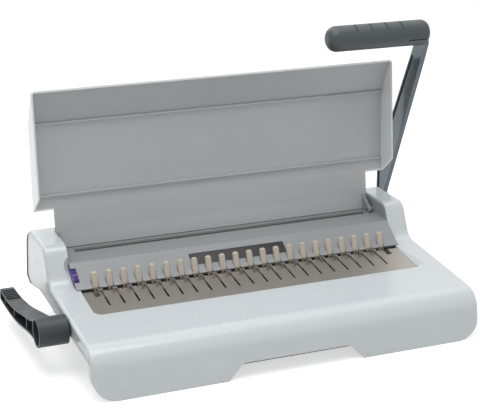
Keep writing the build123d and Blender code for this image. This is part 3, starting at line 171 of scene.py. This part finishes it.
def moulded_plastic(name, colour, rough, grain=1200.0, grain_depth=0.00001, cloud=0.02,
                    rough_spread=0.06, coat=0.0, edge=0.0004, edge_highlight=1.12):
    """Injection-moulded plastic: fine spark grain, slight clouding, handling marks, and sharp edges
    lightened in scuffed patches, partly as edge wear and partly as a painted highlight.
    """
    material, tree, shader = new_material(name)
    vector = place_coordinates(tree)
    softened, mask = edge_mask(tree, edge)
    base = clouded(tree, vector, CLOUD_SCALE, colour, cloud)
    scuffs = remap(tree, noise(tree, vector, SCUFF_SCALE, FINE_DETAIL, SCUFF_ROUGH), NARROW_SPAN, SCUFF_SPAN)
    # Sharp edges are lightened where the scuff noise is high: partly rubbed wear, partly a painted
    # highlight.
    tint = mix_colour(tree, multiply(tree, mask, scuffs), base, shade(colour, edge_highlight))
    tree.links.new(tint, shader.inputs["Base Color"])
    rubbed = noise(tree, vector, RUB_SCALE, RUB_DETAIL, RUB_ROUGH)
    tree.links.new(remap(tree, rubbed, WIDE_SPAN, around(rough, rough_spread)), shader.inputs["Roughness"])
    bump(tree, shader, noise(tree, vector, grain, FINE_DETAIL, GRAIN_ROUGH), grain_depth, softened)
    shader.inputs["IOR"].default_value = PLASTIC_IOR
    shader.inputs["Coat Weight"].default_value = coat
    shader.inputs["Coat Roughness"].default_value = COAT_ROUGHNESS
    return material


def drawn_metal(name, colour, rough, along="X", lines=1400.0, line_depth=0.000006, cloud=0.05,
                rough_spread=0.07, edge=0.0003, edge_highlight=1.25):
    """Rolled or brushed metal: fine lines along one axis, faint stains and a painted highlight on the sharp
    edges.
    """
    material, tree, shader = new_material(name)
    stretch = [BRUSH_LENGTHENED if axis == along else 1.0 for axis in "XYZ"]
    vector = place_coordinates(tree, stretch)
    plain = place_coordinates(tree)
    softened, mask = edge_mask(tree, edge)
    brushed = noise(tree, vector, lines, FINE_DETAIL, BRUSH_ROUGH)
    base = clouded(tree, plain, STAIN_SCALE, colour, cloud)
    streaks = remap(tree, brushed, NARROW_SPAN, STREAK_SPAN)
    streaked = mix_colour(tree, streaks, base, shade(colour, STREAK_SHADE))
    # The sharp edges take a brighter copy of the colour: a painted highlight.
    highlight_colour = tuple(min(1.0, channel) for channel in shade(colour, edge_highlight))
    tree.links.new(mix_colour(tree, mask, streaked, highlight_colour), shader.inputs["Base Color"])
    tree.links.new(remap(tree, brushed, WIDE_SPAN, around(rough, rough_spread)), shader.inputs["Roughness"])
    bump(tree, shader, brushed, line_depth, softened)
    shader.inputs["Metallic"].default_value = 1.0
    return material


# Each look's factor for its sharp edges lightens them as a painted highlight; on plastics this is partly
# edge wear as well.
gloss = {"grain": 1500.0, "grain_depth": 0.000002, "cloud": 0.012, "rough_spread": 0.04, "coat": 0.35}
plastics = {
    "case_white": {"colour": srgb(206, 212, 215), "rough": 0.24, "edge": 0.0009, "edge_highlight": 1.45, **gloss},
    # The lid's white is a lighter copy of the case white: painted light for the light falling on the lid
    # from the left.
    "lid_white_painted_light": {"colour": srgb(232, 235, 236), "rough": 0.2, "edge": 0.0007, "edge_highlight": 1.05, **gloss},
    "rear_grey": {"colour": srgb(112, 119, 122), "rough": 0.45},
    "panel_grey": {"colour": srgb(148, 151, 153), "rough": 0.42, "grain": 1500.0,
                   "grain_depth": 0.000006, "edge": 0.0005, "edge_highlight": 1.7},
    # The liner grey is a lighter copy of the panel grey: painted light offsetting the shade inside the lid.
    "liner_grey_painted_light": {"colour": srgb(186, 190, 191), "rough": 0.34, "grain": 1300.0,
                   "grain_depth": 0.000006, "edge": 0.0007, "edge_highlight": 1.45},
    "window_black": {"colour": srgb(24, 18, 26), "rough": 0.3, "grain": 1500.0, "grain_depth": 0.000002},
    "finger_ivory": {"colour": srgb(190, 182, 166), "rough": 0.28, "grain": 1800.0,
                     "grain_depth": 0.000003, "edge": 0.0002, "edge_highlight": 1.5},
    "lever_grey": {"colour": srgb(48, 53, 54), "rough": 0.46, "grain": 1100.0,
                   "grain_depth": 0.000014, "edge_highlight": 1.6},
    "grip_grey": {"colour": srgb(66, 73, 76), "rough": 0.42, "grain": 1100.0,
                  "grain_depth": 0.000012, "edge_highlight": 1.4},
    "tray_grey": {"colour": srgb(120, 125, 128), "rough": 0.5},
    "foot_rubber": {"colour": srgb(38, 38, 38), "rough": 0.75, "grain": 700.0, "grain_depth": 0.00003},
    "wheel_purple": {"colour": srgb(70, 40, 122), "rough": 0.3, "grain": 1500.0, "grain_depth": 0.000004},
}
metals = {
    "plate_steel": {"colour": srgb(176, 170, 163), "rough": 0.4, "lines": 5200.0,
                    "line_depth": 0.000002, "cloud": 0.03, "edge": 0.00015},
    "screw_steel": {"colour": srgb(190, 188, 186), "rough": 0.22, "edge": 0.00015},
    "arm_steel": {"colour": srgb(92, 99, 104), "rough": 0.22, "along": "Z", "cloud": 0.12,
                  "edge": 0.0006, "edge_highlight": 2.6},
}
materials = {name: moulded_plastic(name, **look) for name, look in plastics.items()}
materials.update({name: drawn_metal(name, **look) for name, look in metals.items()})
# The lid shell and lid liner take lighter copies of the case white and panel grey, as painted light.
own_material = {"lid_liner": "liner_grey_painted_light", "lid_shell": "lid_white_painted_light"}


def dress(piece, material):
    """Puts a material in every slot of an object."""
    mesh = piece.data
    if not mesh.materials:
        mesh.materials.append(material)
    for index in range(len(mesh.materials)):
        mesh.materials[index] = material


for name, piece in nodes.items():
    slot = piece.data.materials[0].name.split(".")[0]
    dress(piece, materials[own_material.get(name, slot)])

# ---------------------------------------------------------------- studio

FLOOR_REACH = 12.0
FLOOR_MOTTLE = 3.0
FLOOR_ROUGHNESS = 0.9
FLOOR_SPECULAR = 0.1
FLOOR_GLOW = 0.6
WORLD_LIGHT = 0.44
SEEN = ("Is Camera Ray", "Is Glossy Ray", "Is Transmission Ray")

floor_mesh = bpy.data.meshes.new("floor")
floor = bpy.data.objects.new("floor", floor_mesh)
bpy.context.scene.collection.objects.link(floor)
sheet = bmesh.new()
for side_x, side_y in ((-1, -1), (1, -1), (1, 1), (-1, 1)):
    sheet.verts.new((side_x * FLOOR_REACH, side_y * FLOOR_REACH, 0.0))
sheet.faces.new(sheet.verts)
sheet.to_mesh(floor_mesh)
sheet.free()


def light_path(tree, kinds):
    """1 for rays of the given kinds."""
    path = tree.nodes.new("ShaderNodeLightPath")
    result = path.outputs[kinds[0]]
    for kind in kinds[1:]:
        either = tree.nodes.new("ShaderNodeMath")
        either.operation = "MAXIMUM"
        tree.links.new(result, either.inputs[0])
        tree.links.new(path.outputs[kind], either.inputs[1])
        result = either.outputs[0]
    return result


floor_material, tree, shader = new_material("floor_white")
vector = place_coordinates(tree)
mottle = noise(tree, vector, FLOOR_MOTTLE)
base = mix_colour(tree, mottle, srgb(212, 212, 212), srgb(218, 218, 218))
tree.links.new(base, shader.inputs["Base Color"])
shader.inputs["Roughness"].default_value = FLOOR_ROUGHNESS
shader.inputs["Specular IOR Level"].default_value = FLOOR_SPECULAR
shader.inputs["Emission Color"].default_value = WHITE
glow = remap(tree, light_path(tree, SEEN), FULL_SPAN, (0.0, FLOOR_GLOW))
tree.links.new(glow, shader.inputs["Emission Strength"])
floor_mesh.materials.append(floor_material)

world = bpy.data.worlds.new("studio")
bpy.context.scene.world = world
world.use_nodes = True
sky = world.node_tree
background = sky.nodes["Background"]
background.inputs["Color"].default_value = WHITE
strength = remap(sky, light_path(sky, SEEN), FULL_SPAN, (WORLD_LIGHT, 1.0))
sky.links.new(strength, background.inputs["Strength"])


def lamp(name, place, target, size, watts):
    """Rectangular lamp that faces a target."""
    light = bpy.data.lights.new(name, "AREA")
    light.shape = "RECTANGLE"
    light.size, light.size_y = size
    light.energy = watts
    holder = bpy.data.objects.new(name, light)
    bpy.context.scene.collection.objects.link(holder)
    holder.location = place
    holder.rotation_euler = (Vector(target) - Vector(place)).to_track_quat("-Z", "Y").to_euler()


machine_middle = (0.0, 0.0, 0.1)
right_of_base = (0.1, 0.0, 0.05)
lamp("key", place=(-0.35, -0.25, 1.6), target=machine_middle, size=(1.3, 1.3), watts=15)
lamp("top", place=(0.3, 0.5, 1.6), target=machine_middle, size=(1.8, 1.6), watts=7)
lamp("strip", place=(-0.15, 1.45, 1.2), target=right_of_base, size=(0.3, 0.6), watts=3)
lamp("fill", place=(0.9, -1.8, 0.9), target=machine_middle, size=(1.2, 1.2), watts=1.5)

# ---------------------------------------------------------------- camera

CAMERA_PLACE = (-0.46994, -1.15293, 0.5153)
YAW = math.radians(22.148)
PITCH = math.radians(17.664)
ROLL = math.radians(-0.241)
LENS_MM = 102.77
SENSOR_MM = 36.0
CLIP_NEAR = 0.01
CLIP_FAR = 50.0

camera_data = bpy.data.cameras.new("camera")
camera_data.lens = LENS_MM
camera_data.sensor_width = SENSOR_MM
camera_data.clip_start = CLIP_NEAR
camera_data.clip_end = CLIP_FAR
camera = bpy.data.objects.new("camera", camera_data)
bpy.context.scene.collection.objects.link(camera)
forward = Vector((math.sin(YAW) * math.cos(PITCH), math.cos(YAW) * math.cos(PITCH), -math.sin(PITCH)))
right = Vector((math.cos(YAW), -math.sin(YAW), 0.0))
up = right.cross(forward)
rolled_right = right * math.cos(ROLL) + up * math.sin(ROLL)
rolled_up = -right * math.sin(ROLL) + up * math.cos(ROLL)
turn = Matrix((rolled_right, rolled_up, -forward)).transposed()
camera.matrix_world = Matrix.Translation(CAMERA_PLACE) @ turn.to_4x4()
bpy.context.scene.camera = camera
bpy.context.scene.view_settings.view_transform = "Standard"
